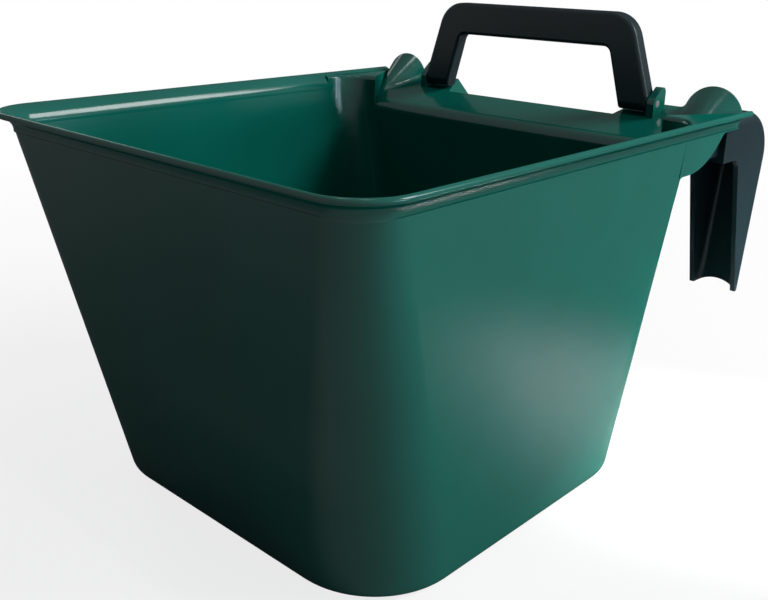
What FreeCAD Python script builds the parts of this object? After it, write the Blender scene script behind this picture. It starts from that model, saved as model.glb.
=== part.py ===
import FreeCAD, Part
import math
import os

# Portable horse feeder: a tapered tub that hangs on a rail by two hooks and is carried by a folding handle.
# Millimetres. The origin is the middle of the underside of the base, +Z is up and the hooks are at +Y.

# Tub
rim_width = 340.0
rim_height = 249.0
base_width = 276.0
base_depth = 276.0
front_overhang = 47.5
tail_overhang = 50.0
back_lean = 1.0
wall = 3.0
floor_thickness = 3.5
base_corner_radius = 60.0
rim_corner_radius = 33.5
base_edge_radius = 7.0

# Rolled rim
lip_overhang = 7.5
lip_rise = 13.0
lip_bead_radius = 2.0
lip_root_outside = 2.2
lip_root_inside = 4.2
lip_joint = 0.6

# Back deck
nosing_drop = 21.0
nosing_radius = 9.0
tail_drop = 3.0
deck_plate = 5.5
deck_skirt = 17.0
notch_inset = 17.5
notch_setback = 21.0
cheek_drop = 36.0
cheek_radius = 46.0
corner_land_drop = 2.0
corner_edge_radius = 3.0
corner_room_share = 0.75

# Hoods over the hook roots
hood_inset = 28.5
hood_radius = 21.7
hood_crown = 13.5
hood_length = 40.5
hood_nose_radius = 4.0
hood_nose_drop = 24.0
hood_foot_radius = 5.0
hood_hollow_length = 28.0

# Handle and its hinge
handle_depth = 12.0
handle_setback = 9.0
handle_top = 59.5
handle_bar = 24.0
handle_inset = 68.5
handle_taper = 18.0
handle_leg = 22.0
handle_opening_taper = 12.0
handle_corner_radius = 22.0
handle_opening_radius = 6.0
handle_edge_radius = 2.5
foot_rise = 5.0
hinge_drop = 1.0
hinge_gap = 0.4
ear_thickness = 5.5
ear_radius = 5.5
ear_top = 10.0
ear_top_radius = 4.0
pin_diameter = 5.0
pin_depth = 16.0
pin_running_gap = 0.05
stop_thickness = 4.0
stop_width = 12.0
stop_rise = 5.0

# Hooks
hook_inset = 29.5
hook_width = 36.0
hook_gap = 0.4
hook_wall = 3.5
hook_corner_radius = 8.0
hook_top_drop = 5.2
hook_root_depth = 11.2
hook_reach = 30.4
hook_bend_radius = 32.7
hook_drop = 140.5
hook_lean = 14.7
hook_throat = 13.1
hook_throat_radius = 10.0
hook_tip_depth = 9.8
hook_web_drop = 36.0
hook_tip_scallop = 5.0
root_drop = 27.0
root_plate = 4.0
root_length = 45.0
root_width = 27.0

# Fasteners
screw_diameter = 3.5
screw_spacing = 12.0
screw_inset = 7.0
screw_bite = 7.0
head_diameter = 7.0
head_height = 2.5
washer_diameter = 9.0
washer_thickness = 0.8
hole_gap = 0.3
boss_diameter = 7.5

# Cuts run past the faces they cut by this much
overrun = 5.0
tolerance = 0.01

# Places worked out from the sizes above
front_wall_y = -base_depth / 2 - front_overhang + lip_overhang
back_wall_y = base_depth / 2 + back_lean
tip_y = base_depth / 2 + tail_overhang
side_wall_x = rim_width / 2 - lip_overhang
wall_corner_radius = rim_corner_radius - lip_overhang
wall_top_z = rim_height - lip_rise + lip_joint
deck_slope = (nosing_drop - tail_drop) / (tip_y - back_wall_y)
notch_y = tip_y - notch_setback
hood_x = rim_width / 2 - hood_inset
hood_axis_z = rim_height + hood_crown - hood_radius
handle_foot_half_width = rim_width / 2 - handle_inset
handle_top_half_width = handle_foot_half_width - handle_taper
handle_opening_half_width = handle_foot_half_width - handle_leg - handle_opening_taper
notch_half_width = handle_foot_half_width - notch_inset
handle_front_y = tip_y - handle_setback - handle_depth
hinge_y = handle_front_y + handle_depth / 2
hinge_z = rim_height - hinge_drop
hook_x = rim_width / 2 - hook_inset
hook_start_y = tip_y - hook_root_depth


def vector(x, y, z):
    return FreeCAD.Vector(x, y, z)


def between(at_base, at_rim, z):
    """A size that runs straight from its value at the base to its value at the rim."""
    return at_base + (at_rim - at_base) * z / rim_height


def half_width(z):
    return between(base_width / 2, side_wall_x, z)


def front_y(z):
    return between(-base_depth / 2, front_wall_y, z)


def back_y(z):
    return between(base_depth / 2, back_wall_y, z)


def corner_radius(z):
    return between(base_corner_radius, wall_corner_radius, z)


def deck_z(y):
    return rim_height - nosing_drop + deck_slope * (y - back_wall_y)


def corner_start_y():
    """Where the back corners of the wall begin, at the height of the deck there."""
    z = deck_z(back_wall_y - wall_corner_radius)
    return back_y(z) - corner_radius(z)


def polygon_face(points):
    return Part.Face(Part.makePolygon(points + points[:1]))


def prism_x(yz_points, x_start, x_end):
    """A flat outline in the side view, drawn out across the width."""
    face = polygon_face([vector(x_start, y, z) for y, z in yz_points])
    return face.extrude(vector(x_end - x_start, 0, 0))


def prism_y(xz_points, y_start, y_end):
    """A flat outline in the front view, drawn out from front to back."""
    face = polygon_face([vector(x, y_start, z) for x, z in xz_points])
    return face.extrude(vector(0, y_end - y_start, 0))


def cylinder_x(radius, x_start, x_end, y, z):
    return Part.makeCylinder(radius, x_end - x_start, vector(x_start, y, z), vector(1, 0, 0))


def cylinder_z(radius, x, y, z_start, z_end):
    return Part.makeCylinder(radius, z_end - z_start, vector(x, y, z_start), vector(0, 0, 1))


def line(start, end):
    return Part.LineSegment(start, end).toShape()


def arc(start, middle, end):
    return Part.Arc(start, middle, end).toShape()


def mirrored(shape):
    return shape.mirror(vector(0, 0, 0), vector(1, 0, 0))


def wall_edges(z, inset):
    """The rounded rectangle that the wall follows at one height, as arcs and lines in turn."""
    half = half_width(z) - inset
    front = front_y(z) + inset
    back = back_y(z) - inset
    radius = corner_radius(z) - inset
    centres = [(half - radius, back - radius, 0), (radius - half, back - radius, 90),
               (radius - half, front + radius, 180), (half - radius, front + radius, 270)]
    arcs = []
    for x, y, turn in centres:
        points = []
        for angle in (turn, turn + 45, turn + 90):
            step = math.radians(angle)
            points.append(vector(x + radius * math.cos(step), y + radius * math.sin(step), z))
        arcs.append(points)
    edges = []
    for index, points in enumerate(arcs):
        following = arcs[(index + 1) % len(arcs)]
        edges.append(arc(*points))
        edges.append(line(points[-1], following[0]))
    return edges


def tapered_block(z_start, z_end, inset, edge_radius):
    """A tapered block with a rounded lower edge: the outside of the tub, or its cavity."""
    lower = wall_edges(z_start, inset)
    upper = wall_edges(z_end, inset)
    faces = [Part.Face(Part.Wire(lower)), Part.Face(Part.Wire(upper))]
    for index in range(0, len(lower), 2):
        faces.append(Part.makeRuledSurface(lower[index], upper[index]))
        low_points = [vertex.Point for vertex in lower[index + 1].Vertexes]
        high_points = [vertex.Point for vertex in upper[index + 1].Vertexes]
        faces.append(polygon_face(low_points + high_points[::-1]))
    shell = Part.makeShell(faces)
    shell.sewShape()
    block = Part.makeSolid(shell.reversed())
    low = [edge for edge in block.Edges if edge.BoundBox.ZMax < z_start + tolerance]
    return block.makeFillet(edge_radius, low)


def side_envelope(inset, z_start, z_end, y_start, y_end):
    """The space between the two leaning side walls, drawn straight back past the corners."""
    low, high = half_width(z_start) - inset, half_width(z_end) - inset
    return prism_y([(-low, z_start), (low, z_start), (high, z_end), (-high, z_end)], y_start, y_end)


def lip_face(x, y, outward):
    """Section of the rolled rim at one place on the wall line; outward points away from the tub."""
    def at(out, up):
        return vector(x, y, rim_height + up) + outward * out
    bead_out = lip_overhang - lip_bead_radius
    bead_low = -2 * lip_bead_radius
    inside_middle = at((bead_out - lip_root_inside) / 2 - lip_bead_radius, bead_low)
    outside_middle = at((bead_out - lip_root_outside) / 2 - lip_bead_radius / 2, bead_low - lip_bead_radius)
    edges = [arc(at(-lip_root_inside, -lip_rise), inside_middle, at(bead_out, 0)),
             arc(at(bead_out, 0), at(lip_overhang, -lip_bead_radius), at(bead_out, bead_low)),
             arc(at(bead_out, bead_low), outside_middle, at(-lip_root_outside, -lip_rise)),
             line(at(-lip_root_outside, -lip_rise), at(-lip_root_inside, -lip_rise))]
    return Part.Face(Part.Wire(edges))


def rim():
    """The rolled rim runs round the front and straight back along both sides to its tips."""
    corner_x = side_wall_x - wall_corner_radius
    corner_y = front_wall_y + wall_corner_radius
    side_section = lip_face(side_wall_x, corner_y, vector(1, 0, 0))
    side = side_section.extrude(vector(0, tip_y - corner_y, 0))
    corner = side_section.revolve(vector(corner_x, corner_y, 0), vector(0, 0, 1), -90)
    front = lip_face(corner_x, front_wall_y, vector(0, -1, 0)).extrude(vector(-corner_x, 0, 0))
    half = side.fuse([corner, front])
    return half.fuse(mirrored(half)).removeSplitter()


def rim_limit():
    """Space inside the middle of the side walls and of the rolled rim; the deck and hoods end in it."""
    start = corner_start_y()
    low = deck_z(start) - deck_skirt
    root_x = side_wall_x - (lip_root_inside + lip_root_outside) / 2
    knee_z = rim_height - 2 * lip_bead_radius
    edge_x = rim_width / 2 - lip_bead_radius
    right = [(half_width(low) - wall / 2, low), (root_x, rim_height - lip_rise),
             (side_wall_x, knee_z - lip_bead_radius / 2), (edge_x, knee_z + lip_bead_radius),
             (edge_x, rim_height + hood_crown)]
    left = [(-x, z) for x, z in reversed(right)]
    return prism_y(right + left, start, tip_y)


def deck_block(inset_top, inset_back, drop):
    """Sloping slab from the middle of the tub to the tips; with insets it is the hollow under the deck."""
    end = tip_y - inset_back
    outline = [(0, deck_z(0) - inset_top), (end, deck_z(end) - inset_top),
               (end, deck_z(end) - drop), (0, deck_z(0) - drop)]
    return prism_x(outline, -rim_width / 2, rim_width / 2)


def notch(inset):
    """Hand room behind the handle opening, with sloping ends."""
    top = rim_height + overrun
    bottom = deck_z(notch_y) - deck_skirt - overrun
    half = notch_half_width + inset * math.sqrt(2)
    back_edge = deck_z(tip_y)
    outline = [(half + top - back_edge, top), (half + bottom - back_edge, bottom),
               (back_edge - half - bottom, bottom), (back_edge - half - top, top)]
    return prism_y(outline, notch_y - inset, tip_y + overrun)


def on_deck(edge, other_shell):
    """Whether an edge lies both on the deck and on another surface."""
    for point in edge.discretize(3):
        if abs(point.z - deck_z(point.y)) > tolerance:
            return False
        if Part.Vertex(point).distToShape(other_shell)[0] > tolerance:
            return False
    return True


def hood(inset, length, run_out):
    """Half of a leaning cone on the right side: narrow at the nosing, wide and open at the back."""
    share = length / hood_length
    rings = []
    for along in (0, share):
        radius = hood_radius - inset + (hood_nose_radius - hood_radius) * along
        z = hood_axis_z + (rim_height - hood_nose_drop - hood_axis_z) * along
        centre = vector(hood_x, tip_y - hood_length * along, z)
        rings.append(Part.Wire(Part.makeCircle(radius, centre, vector(0, 1, 0))))
    cone = Part.makeLoft(rings, True, True)
    if run_out == 0:
        return cone
    mouth = vector(hood_x, tip_y, hood_axis_z)
    return cone.fuse(Part.makeCylinder(hood_radius - inset, run_out, mouth, vector(0, 1, 0)))


def deck(outside, cavity):
    """Sloping back deck with a rounded nosing, a hood over each hook root and a skirt, open underneath."""
    slab = deck_block(0, 0, deck_skirt).cut(cavity)
    nosing = [edge for edge in slab.Edges if on_deck(edge, cavity.Shells[0])]
    slab = slab.makeFillet(nosing_radius, nosing)
    hoods = [hood(0, hood_length, 0), mirrored(hood(0, hood_length, 0))]
    slab = slab.fuse(hoods)
    feet = [edge for edge in slab.Edges if edge.BoundBox.YLength > tolerance
            and any(on_deck(edge, piece.Shells[0]) for piece in hoods)]
    slab = slab.makeFillet(hood_foot_radius, feet)
    hollow = deck_block(deck_plate, wall, deck_skirt + hood_radius).cut([notch(wall), outside])
    return slab.cut([notch(0), hollow]).common(rim_limit())


def above_deck(lowering):
    """Space over the deck between the side walls; the lowering takes it down into the deck plate."""
    start = corner_start_y()
    end = tip_y + overrun
    top = rim_height + overrun
    low = deck_z(start) - lowering
    outline = [(start, low), (end, deck_z(end) - lowering), (end, top), (start, top)]
    return prism_x(outline, -rim_width / 2, rim_width / 2).common(side_envelope(wall, low, top, start, end))


def corner_land(cavity):
    """Lands in the back corners, level with the rim, between the round wall, the side and the hood."""
    start = corner_start_y()
    end = back_wall_y - wall
    top = rim_height - corner_land_drop
    plate = deck_plate / 2
    outline = [(start, deck_z(start) - nosing_radius), (end, deck_z(end) - nosing_radius),
               (end, deck_z(end) - plate), (tip_y, deck_z(tip_y) - plate), (tip_y, top), (start, top)]
    near_half = half_width(deck_z(end)) - corner_radius(deck_z(end))
    far_half = hood_x + hood_radius
    low = deck_z(start) - deck_skirt
    plan = [vector(near_half, start, low), vector(near_half, end, low), vector(far_half, tip_y, low),
            vector(-far_half, tip_y, low), vector(-near_half, end, low), vector(-near_half, start, low)]
    middle = polygon_face(plan).extrude(vector(0, 0, rim_height - low))
    land = prism_x(outline, -rim_width / 2, rim_width / 2).common(rim_limit()).cut([cavity, middle])
    shell = cavity.Shells[0]
    edges = [edge for edge in land.Edges if edge.BoundBox.ZMin > top - tolerance
             and all(Part.Vertex(point).distToShape(shell)[0] < tolerance for point in edge.discretize(3))]
    room = min(edge.Length for edge in edges if edge.Length > tolerance)
    return land.makeFillet(min(corner_edge_radius, corner_room_share * room), edges)


def cheek():
    """The right side wall carried straight back under the rim, with a round lower edge."""
    low = rim_height - cheek_drop
    high = rim_height - lip_rise
    start = back_wall_y - wall_corner_radius
    centre_y = back_wall_y - wall_corner_radius / 2
    centre_z = low + cheek_radius
    end_y = centre_y + math.sqrt(cheek_radius ** 2 - (centre_z - high) ** 2)
    middle_turn = math.atan2(end_y - centre_y, centre_z - high) / 2
    middle = vector(0, centre_y + cheek_radius * math.sin(middle_turn),
                    centre_z - cheek_radius * math.cos(middle_turn))
    corners = [vector(0, start, low), vector(0, centre_y, low), vector(0, end_y, high),
               vector(0, tip_y, high), vector(0, tip_y, wall_top_z), vector(0, start, wall_top_z)]
    edges = [line(corners[0], corners[1]), arc(corners[1], middle, corners[2])]
    edges += [line(first, second) for first, second in zip(corners[2:], corners[3:] + corners[:1])]
    outline = Part.Face(Part.Wire(edges)).extrude(vector(rim_width / 2, 0, 0))
    skin = side_envelope(0, low, wall_top_z, start, tip_y)
    skin = skin.cut(side_envelope(wall, low, wall_top_z, start - overrun, tip_y + overrun))
    return skin.common(outline)


def ear():
    """Hinge ear beside the outer face of the right handle foot, rising to a round top behind the pin."""
    start = handle_foot_half_width + hinge_gap
    top_y = tip_y - handle_setback + hinge_gap
    top_z = rim_height + ear_top - ear_top_radius
    turn = math.atan2(top_z - hinge_z, top_y - hinge_y)
    spread = math.acos((ear_radius - ear_top_radius) / math.hypot(top_z - hinge_z, top_y - hinge_y))
    sides = []
    for angle in (turn - spread, turn + spread):
        out_y, out_z = math.cos(angle), math.sin(angle)
        sides.append([(hinge_y + ear_radius * out_y, hinge_z + ear_radius * out_z),
                      (top_y + ear_top_radius * out_y, top_z + ear_top_radius * out_z)])
    web = prism_x([sides[0][0], sides[0][1], sides[1][1], sides[1][0]], start, start + ear_thickness)
    low_z = deck_z(hinge_y - ear_radius)
    foot = prism_x([(hinge_y - ear_radius, low_z), (top_y + ear_top_radius, low_z),
                    (top_y + ear_top_radius, top_z), (hinge_y, hinge_z), (hinge_y - ear_radius, hinge_z)],
                   start, start + ear_thickness)
    eye = cylinder_x(ear_radius, start, start + ear_thickness, hinge_y, hinge_z)
    top = cylinder_x(ear_top_radius, start, start + ear_thickness, top_y, top_z)
    hole = cylinder_x(pin_diameter / 2, start - overrun, start + ear_thickness + overrun, hinge_y, hinge_z)
    return foot.fuse([web, eye, top]).cut(hole).removeSplitter()


def stop():
    """Low stop that the right handle leg leans back on, joined to its ear."""
    x_start = handle_foot_half_width + hinge_gap + ear_thickness / 2 - stop_width
    y_start = handle_front_y + handle_depth + hinge_gap
    base_z = deck_z(y_start) - deck_plate / 2
    height = rim_height + stop_rise - base_z
    return Part.makeBox(stop_width, stop_thickness, height, vector(x_start, y_start, base_z))


def screw_places():
    """Middle of each screw on the right side."""
    y = tip_y - root_length + screw_inset
    return [(hook_x - screw_spacing / 2, y), (hook_x + screw_spacing / 2, y)]


def boss(x, y):
    """Screw boss under the deck, ending on the hook's root plate."""
    return cylinder_z(boss_diameter / 2, x, y, rim_height - root_drop, deck_z(y) - deck_plate / 2)


def hook_slot():
    """Room for the right hook's arm through the skirt and the foot of the rim."""
    half = hook_width / 2 + hook_gap
    top = rim_height - hook_top_drop + hook_gap
    corner = hook_corner_radius + hook_gap
    low = rim_height - hook_web_drop - hook_gap
    start = hook_start_y - hook_gap
    block = Part.makeBox(2 * half, tip_y + overrun - start, top - low, vector(hook_x - half, start, low))
    upper = [edge for edge in block.Edges
             if edge.BoundBox.YLength > overrun and edge.BoundBox.ZMin > top - tolerance]
    side = Part.makeBox(rim_width / 2 - hook_x, wall + overrun, rim_height - lip_rise - low,
                        vector(hook_x, tip_y - wall, low))
    return block.makeFillet(corner, upper).fuse(side)


def tub():
    outside = tapered_block(0, wall_top_z, 0, base_edge_radius)
    cavity = tapered_block(floor_thickness, rim_height + overrun, wall, base_edge_radius - wall)
    body = outside.cut([cavity, above_deck(nosing_radius)])
    body = body.fuse([deck(outside, cavity), corner_land(cavity), cheek(), mirrored(cheek())])
    fittings = [ear(), stop()] + [boss(x, y) for x, y in screw_places()]
    body = body.fuse(fittings + [mirrored(piece) for piece in fittings])
    body = body.fuse(rim())
    cuts = [hood(wall, hood_hollow_length, overrun), hook_slot()]
    cuts += [cylinder_z(screw_diameter / 2, x, y, rim_height - root_drop - overrun,
                        rim_height - root_drop + screw_bite) for x, y in screw_places()]
    return body.cut(cuts + [mirrored(piece) for piece in cuts]).removeSplitter()


def handle_outline():
    """Front view of the handle as a closed run of corners, right foot first."""
    foot = hinge_z - handle_depth / 2
    top = rim_height + handle_top
    opening_top = top - handle_bar
    inner_foot = handle_foot_half_width - handle_leg
    right = [(inner_foot, foot), (handle_foot_half_width, foot),
             (handle_foot_half_width, hinge_z + foot_rise), (handle_top_half_width, top)]
    left = [(-x, z) for x, z in reversed(right)]
    opening = [(-handle_opening_half_width, opening_top), (handle_opening_half_width, opening_top)]
    return right + left + opening


def edges_at(shape, corners):
    """Edges that run from front to back through the given corners of the front view."""
    found = []
    for edge in shape.Edges:
        box = edge.BoundBox
        for x, z in corners:
            if box.XLength < tolerance and box.ZLength < tolerance:
                if abs(box.XMin - x) < tolerance and abs(box.ZMin - z) < tolerance:
                    found.append(edge)
    return found


def carry_handle():
    arch = prism_y(handle_outline(), handle_front_y, handle_front_y + handle_depth)
    top = rim_height + handle_top
    opening_top = top - handle_bar
    outer = [(-handle_top_half_width, top), (handle_top_half_width, top)]
    inner = [(-handle_opening_half_width, opening_top), (handle_opening_half_width, opening_top)]
    arch = arch.makeFillet(handle_corner_radius, edges_at(arch, outer))
    arch = arch.makeFillet(handle_opening_radius, edges_at(arch, inner))
    foot = hinge_z - handle_depth / 2
    rims = [edge for edge in arch.Edges
            if edge.BoundBox.YLength < tolerance and edge.BoundBox.ZMax > foot + tolerance]
    arch = arch.makeFillet(handle_edge_radius, rims)
    side = Part.makeBox(rim_width, handle_depth, handle_top + hinge_drop + overrun,
                        vector(-rim_width / 2, handle_front_y, hinge_z))
    round_feet = cylinder_x(handle_depth / 2, -rim_width / 2, rim_width / 2, hinge_y, hinge_z)
    arch = arch.common(side.fuse(round_feet))
    bores = [cylinder_x(pin_diameter / 2 + pin_running_gap, handle_foot_half_width - pin_depth,
                        handle_foot_half_width + overrun, hinge_y, hinge_z)]
    return arch.cut(bores + [mirrored(bore) for bore in bores])


def handle_pin():
    """Steel pin through the right ear into the handle foot."""
    start = handle_foot_half_width - pin_depth + hinge_gap
    end = handle_foot_half_width + hinge_gap + ear_thickness
    return cylinder_x(pin_diameter / 2, start, end, hinge_y, hinge_z)


def hook_side(inset, run_out):
    """Side view of a hook: arm, bend, leaning leg and the sloping front edge of its webs."""
    bend_y = tip_y + hook_reach
    top_z = rim_height - hook_top_drop - inset
    bend = hook_bend_radius - inset
    bend_z = top_z - bend
    tip_z = rim_height - hook_drop - run_out
    web_z = rim_height - hook_web_drop - run_out
    lean = math.atan2(hook_lean, hook_drop - hook_web_drop)
    turn_end = vector(0, bend_y + bend * math.cos(lean), bend_z - bend * math.sin(lean))
    half_turn = (math.pi / 2 - lean) / 2
    turn_middle = vector(0, bend_y + bend * math.cos(half_turn), bend_z + bend * math.sin(half_turn))
    back_tip_y = turn_end.y - (turn_end.z - tip_z) * math.tan(lean)
    front_tip_y = back_tip_y + inset / math.cos(lean) - hook_tip_depth - run_out
    throat_y = tip_y + hook_throat - run_out
    start_y = hook_start_y + inset
    points = [vector(0, start_y, top_z), vector(0, bend_y, top_z), turn_end, vector(0, back_tip_y, tip_z),
              vector(0, front_tip_y, tip_z), vector(0, throat_y, web_z), vector(0, start_y, web_z)]
    edges = [line(points[0], points[1]), arc(points[1], turn_middle, points[2])]
    edges += [line(first, second) for first, second in zip(points[2:], points[3:] + points[:1])]
    return Part.Face(Part.Wire(edges))


def hook_body(inset, run_out):
    """Solid hook with rounded crown edges; an inset copy is the hollow inside it."""
    half = hook_width / 2 - inset
    face = hook_side(inset, run_out)
    face.translate(vector(hook_x - half, 0, 0))
    block = face.extrude(vector(2 * half, 0, 0))
    top_z = rim_height - hook_top_drop - inset
    crown_y = tip_y + hook_reach
    rounded = []
    for edge in block.Edges:
        middle = edge.valueAt((edge.FirstParameter + edge.LastParameter) / 2)
        on_side = edge.BoundBox.XLength < tolerance
        on_arm = middle.z > top_z - tolerance and edge.BoundBox.ZLength < tolerance
        on_leg = middle.y > crown_y and edge.BoundBox.ZLength > tolerance
        if on_side and (on_arm or on_leg):
            rounded.append(edge)
    return block.makeFillet(hook_corner_radius - inset, rounded)


def hook_root():
    """Plate under the deck that carries the right hook, with a gusset along each side."""
    top = rim_height - root_drop
    start = tip_y - root_length
    end = hook_start_y + hook_wall
    left = hook_x - root_width / 2
    right = hook_x + root_width / 2
    bottom = top - root_plate
    plate = Part.makeBox(root_width, end - start, root_plate, vector(left, start, bottom))
    under = deck_plate + hook_gap
    side = [(start, bottom), (end, bottom), (end, deck_z(end) - under), (start, deck_z(start) - under)]
    gussets = [prism_x(side, left, left + hook_wall), prism_x(side, right - hook_wall, right)]
    holes = [cylinder_z(screw_diameter / 2 + hole_gap, x, y, bottom - overrun, top + overrun)
             for x, y in screw_places()]
    return plate.fuse(gussets).cut(holes)


def tip_scallop():
    """Shallow arch in the lower end of the right hook's spine."""
    chord = hook_width / 2 - hook_wall
    radius = (chord ** 2 + hook_tip_scallop ** 2) / (2 * hook_tip_scallop)
    centre = vector(hook_x, tip_y, rim_height - hook_drop + hook_tip_scallop - radius)
    return Part.makeCylinder(radius, hook_reach + hook_bend_radius + overrun, centre, vector(0, 1, 0))


def hook():
    shell = hook_body(0, 0).cut(hook_body(hook_wall, overrun))
    throat_y = tip_y + hook_throat
    throat = [edge for edge in shell.Edges
              if edge.BoundBox.YLength < tolerance and edge.BoundBox.ZLength < tolerance
              and abs(edge.BoundBox.YMin - throat_y) < tolerance]
    shell = shell.makeFillet(hook_throat_radius, throat).cut(tip_scallop())
    return shell.fuse(hook_root()).removeSplitter()


def screw(x, y):
    under_head = rim_height - root_drop - root_plate - washer_thickness
    shank = cylinder_z(screw_diameter / 2, x, y, under_head, rim_height - root_drop + screw_bite)
    head = cylinder_z(head_diameter / 2, x, y, under_head - head_height, under_head)
    return shank.fuse(head).removeSplitter()


def washer(x, y):
    top = rim_height - root_drop - root_plate
    bottom = top - washer_thickness
    disc = cylinder_z(washer_diameter / 2, x, y, bottom, top)
    return disc.cut(cylinder_z(screw_diameter / 2 + hole_gap, x, y, bottom - overrun, top + overrun))


def export(name, shape):
    shape.exportStep("parts/" + name + ".step")
    print(name, "solids", len(shape.Solids), "valid", shape.isValid(), "volume", round(shape.Volume))


os.makedirs("parts", exist_ok=True)
export("tub", tub())
export("carry_handle", carry_handle())
pairs = {"handle_pin": handle_pin(), "hook": hook(),
         "hook_screws": Part.makeCompound([screw(x, y) for x, y in screw_places()]),
         "hook_washers": Part.makeCompound([washer(x, y) for x, y in screw_places()])}
for name, right_piece in pairs.items():
    export(name + "_right", right_piece)
    export(name + "_left", mirrored(right_piece))
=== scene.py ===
import math

import bpy
from mathutils import Matrix, Vector

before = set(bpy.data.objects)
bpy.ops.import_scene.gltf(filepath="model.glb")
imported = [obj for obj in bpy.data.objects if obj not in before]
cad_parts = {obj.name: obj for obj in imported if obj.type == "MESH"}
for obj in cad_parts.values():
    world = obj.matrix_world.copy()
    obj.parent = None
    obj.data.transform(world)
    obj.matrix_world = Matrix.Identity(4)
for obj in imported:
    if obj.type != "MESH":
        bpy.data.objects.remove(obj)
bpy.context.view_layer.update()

# Camera, fitted to the straight edges of the photograph
IMAGE_WIDTH = 768.0
SENSOR_WIDTH = 36.0
FOCAL_PIXELS = 952.9
CENTRE_DROP_PIXELS = -16.7
CAMERA_AZIMUTH = math.radians(43.0)
CAMERA_PITCH = math.radians(19.1)
CAMERA_ROLL = math.radians(1.0)
CAMERA_PLACE = Vector((0.4275, -0.4477, 0.3446))
CAMERA_CLIP = 0.01

# Finishes: linear colours as plain, deep in the mottling and worn at the edges, then gloss and grain.
# The weak coat with a high index shines about equally from every side.
FINISHES = {
    "green_plastic": {
        "plain": (0.0020, 0.1040, 0.0800, 1.0),
        "deep": (0.0012, 0.0860, 0.0650, 1.0),
        "worn": (0.0300, 0.1700, 0.1450, 1.0),
        "rough": (0.30, 0.42),
        "grain_scale": 900.0, "grain_depth": 0.000006, "wave_depth": 0.0002,
        "metallic": 0.0, "specular": 0.0,
        "coat": 0.08, "coat_ior": 3.0, "coat_rough": 0.15,
    },
    "black_plastic": {
        "plain": (0.0055, 0.0165, 0.0210, 1.0),
        "deep": (0.0045, 0.0135, 0.0170, 1.0),
        "worn": (0.0300, 0.0460, 0.0520, 1.0),
        "rough": (0.42, 0.55),
        "grain_scale": 1600.0, "grain_depth": 0.00005, "wave_depth": 0.0002,
        "metallic": 0.0, "specular": 0.0,
        "coat": 0.065, "coat_ior": 3.0, "coat_rough": 0.34,
    },
    "plated_steel": {
        "plain": (0.55, 0.55, 0.56, 1.0),
        "deep": (0.42, 0.42, 0.43, 1.0),
        "worn": (0.70, 0.70, 0.70, 1.0),
        "rough": (0.25, 0.38),
        "grain_scale": 2200.0, "grain_depth": 0.00002, "wave_depth": 0.0001,
        "metallic": 1.0, "specular": 0.5,
        "coat": 0.0, "coat_ior": 1.5, "coat_rough": 0.1,
    },
}
NODE_FINISHES = {
    "tub": "green_plastic",
    "carry_handle": "black_plastic",
    "hook_left": "black_plastic",
    "hook_right": "black_plastic",
}
FASTENER_FINISH = "plated_steel"

# Patterns that all finishes share: noise scales per metre, lengths in metres
CLOUD_SCALE = 9.0
SPECK_SCALE = 420.0
SCUFF_SCALE = 60.0
SCUFF_STRETCH = (1.0, 1.0, 0.12)
WAVE_SCALE = 26.0
EDGE_RADIUS = 0.0012
EDGE_SHARP, EDGE_FLAT = 0.90, 0.995
EDGE_WEAR = 0.35
SPECK_ROUGH = 0.05

# Floor and surroundings: white where they are seen, darker for the light that they throw back.
# Close to the object the floor keeps its shadow, also in reflections.
WHITE = (1.0, 1.0, 1.0, 1.0)
FLOOR_HALF = 12.0
FLOOR_DROP = 0.0005
FLOOR_SEEN = (0.80, 0.79, 0.77, 1.0)
FLOOR_BOUNCE = (0.30, 0.295, 0.29, 1.0)
FLOOR_NEAR, FLOOR_FAR = 0.3, 1.2
FLOOR_NEAR_WHITE = 0.80
FLOOR_NEAR_MIRRORED = 0.10
SKY_LIGHT = (0.050, 0.060, 0.070, 1.0)

# Lamps: place and target in metres, width and height, watts
LAMPS = {
    "key": {"place": (1.49, 1.08, 1.35), "target": (0.0, 0.0, 0.15), "size": (0.90, 0.90), "power": 54.0},
    "window": {"place": (2.33, 0.55, 0.40), "target": (0.0, 0.0, 0.20), "size": (1.00, 0.20), "power": 15.0,
               "colour": (0.66, 0.86, 1.0)},
    "ceiling_left": {"place": (-0.40, -0.10, 2.00), "target": (-0.40, -0.10, 0.0), "size": (0.32, 0.10),
                     "power": 2.8},
    "ceiling_right": {"place": (0.30, -0.10, 2.00), "target": (0.30, -0.10, 0.0), "size": (0.32, 0.10),
                      "power": 2.8},
    "left_fill": {"place": (-2.20, 0.55, 0.90), "target": (0.0, 0.0, 0.15), "size": (0.90, 0.90), "power": 15.0},
    "floor_pool": {"place": (0.80, 0.52, 1.20), "target": (0.200, 0.180, 0.0), "size": (0.16, 0.16),
                   "power": 0.75, "spread": math.radians(8.0)},
}


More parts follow.
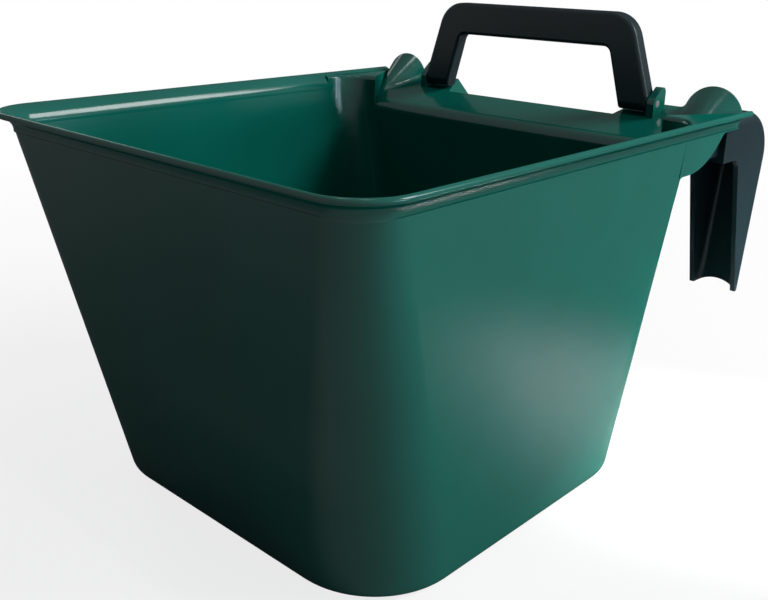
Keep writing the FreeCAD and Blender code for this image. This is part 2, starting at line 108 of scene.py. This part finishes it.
class Graph:
    """Small helper to add and join the nodes of one material or of the world."""

    def __init__(self, tree):
        self.tree = tree
        self.tree.nodes.clear()

    def add(self, kind, inputs=None, **settings):
        node = self.tree.nodes.new(kind)
        for key, value in settings.items():
            setattr(node, key, value)
        for key, value in (inputs or {}).items():
            if isinstance(value, bpy.types.NodeSocket):
                self.tree.links.new(value, node.inputs[key])
            else:
                node.inputs[key].default_value = value
        return node

    def noise(self, place, scale, detail, rough=0.5):
        return self.add("ShaderNodeTexNoise", {
            "Vector": place, "Scale": scale, "Detail": detail, "Roughness": rough}).outputs["Fac"]

    def span(self, value, low, high, to_low, to_high):
        return self.add("ShaderNodeMapRange", {
            "Value": value, "From Min": low, "From Max": high,
            "To Min": to_low, "To Max": to_high}).outputs["Result"]

    def maths(self, operation, first, second):
        return self.add("ShaderNodeMath", {0: first, 1: second}, operation=operation).outputs["Value"]

    def mix(self, factor, first, second):
        return self.add("ShaderNodeMix", {"Factor": factor, "A": first, "B": second},
                        data_type="RGBA").outputs[2]

    def bump(self, height, depth, **normal):
        inputs = {"Height": height, "Distance": depth, "Strength": 1.0}
        return self.add("ShaderNodeBump", {**inputs, **normal}).outputs["Normal"]

    def rays(self):
        """Rays from the camera, rays mirrored by gloss or sent through glass, and either of them."""
        path = self.add("ShaderNodeLightPath").outputs
        camera = path["Is Camera Ray"]
        mirrored = self.maths("MAXIMUM", path["Is Glossy Ray"], path["Is Transmission Ray"])
        return camera, mirrored, self.maths("MAXIMUM", camera, mirrored)


def moulded(name, finish):
    """Moulded plastic or plated metal with mottling, worn edges, scuffs and a fine surface grain."""
    material = bpy.data.materials.new(name)
    material.use_nodes = True
    graph = Graph(material.node_tree)
    place = graph.add("ShaderNodeTexCoord").outputs["Object"]
    drawn_out = graph.add("ShaderNodeMapping", {"Vector": place, "Scale": SCUFF_STRETCH}).outputs["Vector"]
    cloud = graph.noise(place, CLOUD_SCALE, 3.0)
    speck = graph.noise(place, SPECK_SCALE, 2.0)
    scuff = graph.noise(drawn_out, SCUFF_SCALE, 4.0, 0.7)

    colour = graph.mix(graph.span(cloud, 0.30, 0.70, 0.0, 1.0), finish["plain"], finish["deep"])
    rounded = graph.add("ShaderNodeBevel", {"Radius": EDGE_RADIUS}, samples=4).outputs["Normal"]
    normal = graph.add("ShaderNodeNewGeometry").outputs["Normal"]
    turn = graph.add("ShaderNodeVectorMath", {0: rounded, 1: normal}, operation="DOT_PRODUCT").outputs["Value"]
    edge = graph.span(turn, EDGE_FLAT, EDGE_SHARP, 0.0, EDGE_WEAR)
    edge = graph.maths("MULTIPLY", edge, graph.span(scuff, 0.40, 0.65, 0.2, 1.0))
    colour = graph.mix(edge, colour, finish["worn"])

    smooth, coarse = finish["rough"]
    mottle = graph.span(graph.maths("ADD", cloud, scuff), 0.6, 1.4, smooth, coarse)
    mottle = graph.maths("ADD", mottle, graph.span(speck, 0.4, 0.8, 0.0, SPECK_ROUGH))

    waves = graph.bump(graph.noise(place, WAVE_SCALE, 1.0), finish["wave_depth"])
    grain = graph.noise(place, finish["grain_scale"], 3.0, 0.6)
    bumps = graph.bump(grain, finish["grain_depth"], Normal=waves)

    shader = graph.add("ShaderNodeBsdfPrincipled", {
        "Base Color": colour, "Roughness": mottle, "Normal": bumps, "Metallic": finish["metallic"],
        "Specular IOR Level": finish["specular"], "Coat Weight": finish["coat"],
        "Coat IOR": finish["coat_ior"], "Coat Roughness": finish["coat_rough"], "Coat Normal": bumps})
    graph.add("ShaderNodeOutputMaterial", {"Surface": shader.outputs["BSDF"]})
    return material


def dress_nodes():
    """Gives every CAD node its material."""
    materials = {name: moulded(name, finish) for name, finish in FINISHES.items()}
    for node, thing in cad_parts.items():
        thing.data.materials.clear()
        thing.data.materials.append(materials[NODE_FINISHES.get(node, FASTENER_FINISH)])


def place_camera():
    """Sets the camera by its azimuth, pitch and roll, with the photograph's field of view."""
    sin_a, cos_a = math.sin(CAMERA_AZIMUTH), math.cos(CAMERA_AZIMUTH)
    sin_p, cos_p = math.sin(CAMERA_PITCH), math.cos(CAMERA_PITCH)
    sin_r, cos_r = math.sin(CAMERA_ROLL), math.cos(CAMERA_ROLL)
    back = Vector((sin_a * cos_p, -cos_a * cos_p, sin_p))
    level_right = Vector((cos_a, sin_a, 0.0))
    level_up = back.cross(level_right)
    right = level_right * cos_r + level_up * sin_r
    up = level_up * cos_r - level_right * sin_r
    data = bpy.data.cameras.new("camera")
    data.sensor_fit = "HORIZONTAL"
    data.sensor_width = SENSOR_WIDTH
    data.lens = FOCAL_PIXELS / IMAGE_WIDTH * SENSOR_WIDTH
    data.shift_y = CENTRE_DROP_PIXELS / IMAGE_WIDTH
    data.clip_start = CAMERA_CLIP
    camera = bpy.data.objects.new("camera", data)
    bpy.context.scene.collection.objects.link(camera)
    camera.matrix_world = Matrix((
        (right.x, up.x, back.x, CAMERA_PLACE.x),
        (right.y, up.y, back.y, CAMERA_PLACE.y),
        (right.z, up.z, back.z, CAMERA_PLACE.z),
        (0.0, 0.0, 0.0, 1.0)))
    bpy.context.scene.camera = camera


def floor_material():
    material = bpy.data.materials.new("floor")
    material.use_nodes = True
    graph = Graph(material.node_tree)
    camera, mirrored, seen = graph.rays()
    pale = graph.add("ShaderNodeBsdfDiffuse", {"Color": graph.mix(seen, FLOOR_BOUNCE, FLOOR_SEEN)})
    glow = graph.add("ShaderNodeEmission", {"Color": WHITE, "Strength": 1.0})
    place = graph.add("ShaderNodeTexCoord").outputs["Object"]
    distance = graph.add("ShaderNodeVectorMath", {0: place}, operation="LENGTH").outputs["Value"]
    to_camera = graph.span(distance, FLOOR_NEAR, FLOOR_FAR, FLOOR_NEAR_WHITE, 1.0)
    to_gloss = graph.span(distance, FLOOR_NEAR, FLOOR_FAR, FLOOR_NEAR_MIRRORED, 1.0)
    share = graph.maths("MAXIMUM", graph.maths("MULTIPLY", camera, to_camera),
                        graph.maths("MULTIPLY", mirrored, to_gloss))
    surface = graph.add("ShaderNodeMixShader", {
        0: share, 1: pale.outputs["BSDF"], 2: glow.outputs["Emission"]})
    graph.add("ShaderNodeOutputMaterial", {"Surface": surface.outputs["Shader"]})
    return material


def lay_floor():
    mesh = bpy.data.meshes.new("floor")
    corners = [(-FLOOR_HALF, -FLOOR_HALF, 0), (FLOOR_HALF, -FLOOR_HALF, 0),
               (FLOOR_HALF, FLOOR_HALF, 0), (-FLOOR_HALF, FLOOR_HALF, 0)]
    mesh.from_pydata(corners, [], [(0, 1, 2, 3)])
    mesh.materials.append(floor_material())
    floor = bpy.data.objects.new("floor", mesh)
    floor.location.z = -FLOOR_DROP
    bpy.context.scene.collection.objects.link(floor)


def light_world():
    world = bpy.data.worlds.new("studio")
    bpy.context.scene.world = world
    world.use_nodes = True
    graph = Graph(world.node_tree)
    seen = graph.rays()[-1]
    sky = graph.add("ShaderNodeBackground", {"Color": graph.mix(seen, SKY_LIGHT, WHITE), "Strength": 1.0})
    graph.add("ShaderNodeOutputWorld", {"Surface": sky.outputs["Background"]})


def hang_lamp(name, place, target, size, power, colour=WHITE[:3], spread=math.pi):
    data = bpy.data.lights.new(name, "AREA")
    data.shape = "RECTANGLE"
    data.size, data.size_y = size
    data.energy = power
    data.color = colour
    data.spread = spread
    lamp = bpy.data.objects.new(name, data)
    bpy.context.scene.collection.objects.link(lamp)
    lamp.location = place
    aim = Vector(target) - Vector(place)
    lamp.rotation_euler = aim.to_track_quat("-Z", "Y").to_euler()


dress_nodes()
place_camera()
lay_floor()
light_world()
for lamp_name, settings in LAMPS.items():
    hang_lamp(lamp_name, **settings)
bpy.context.scene.view_settings.view_transform = "Standard"
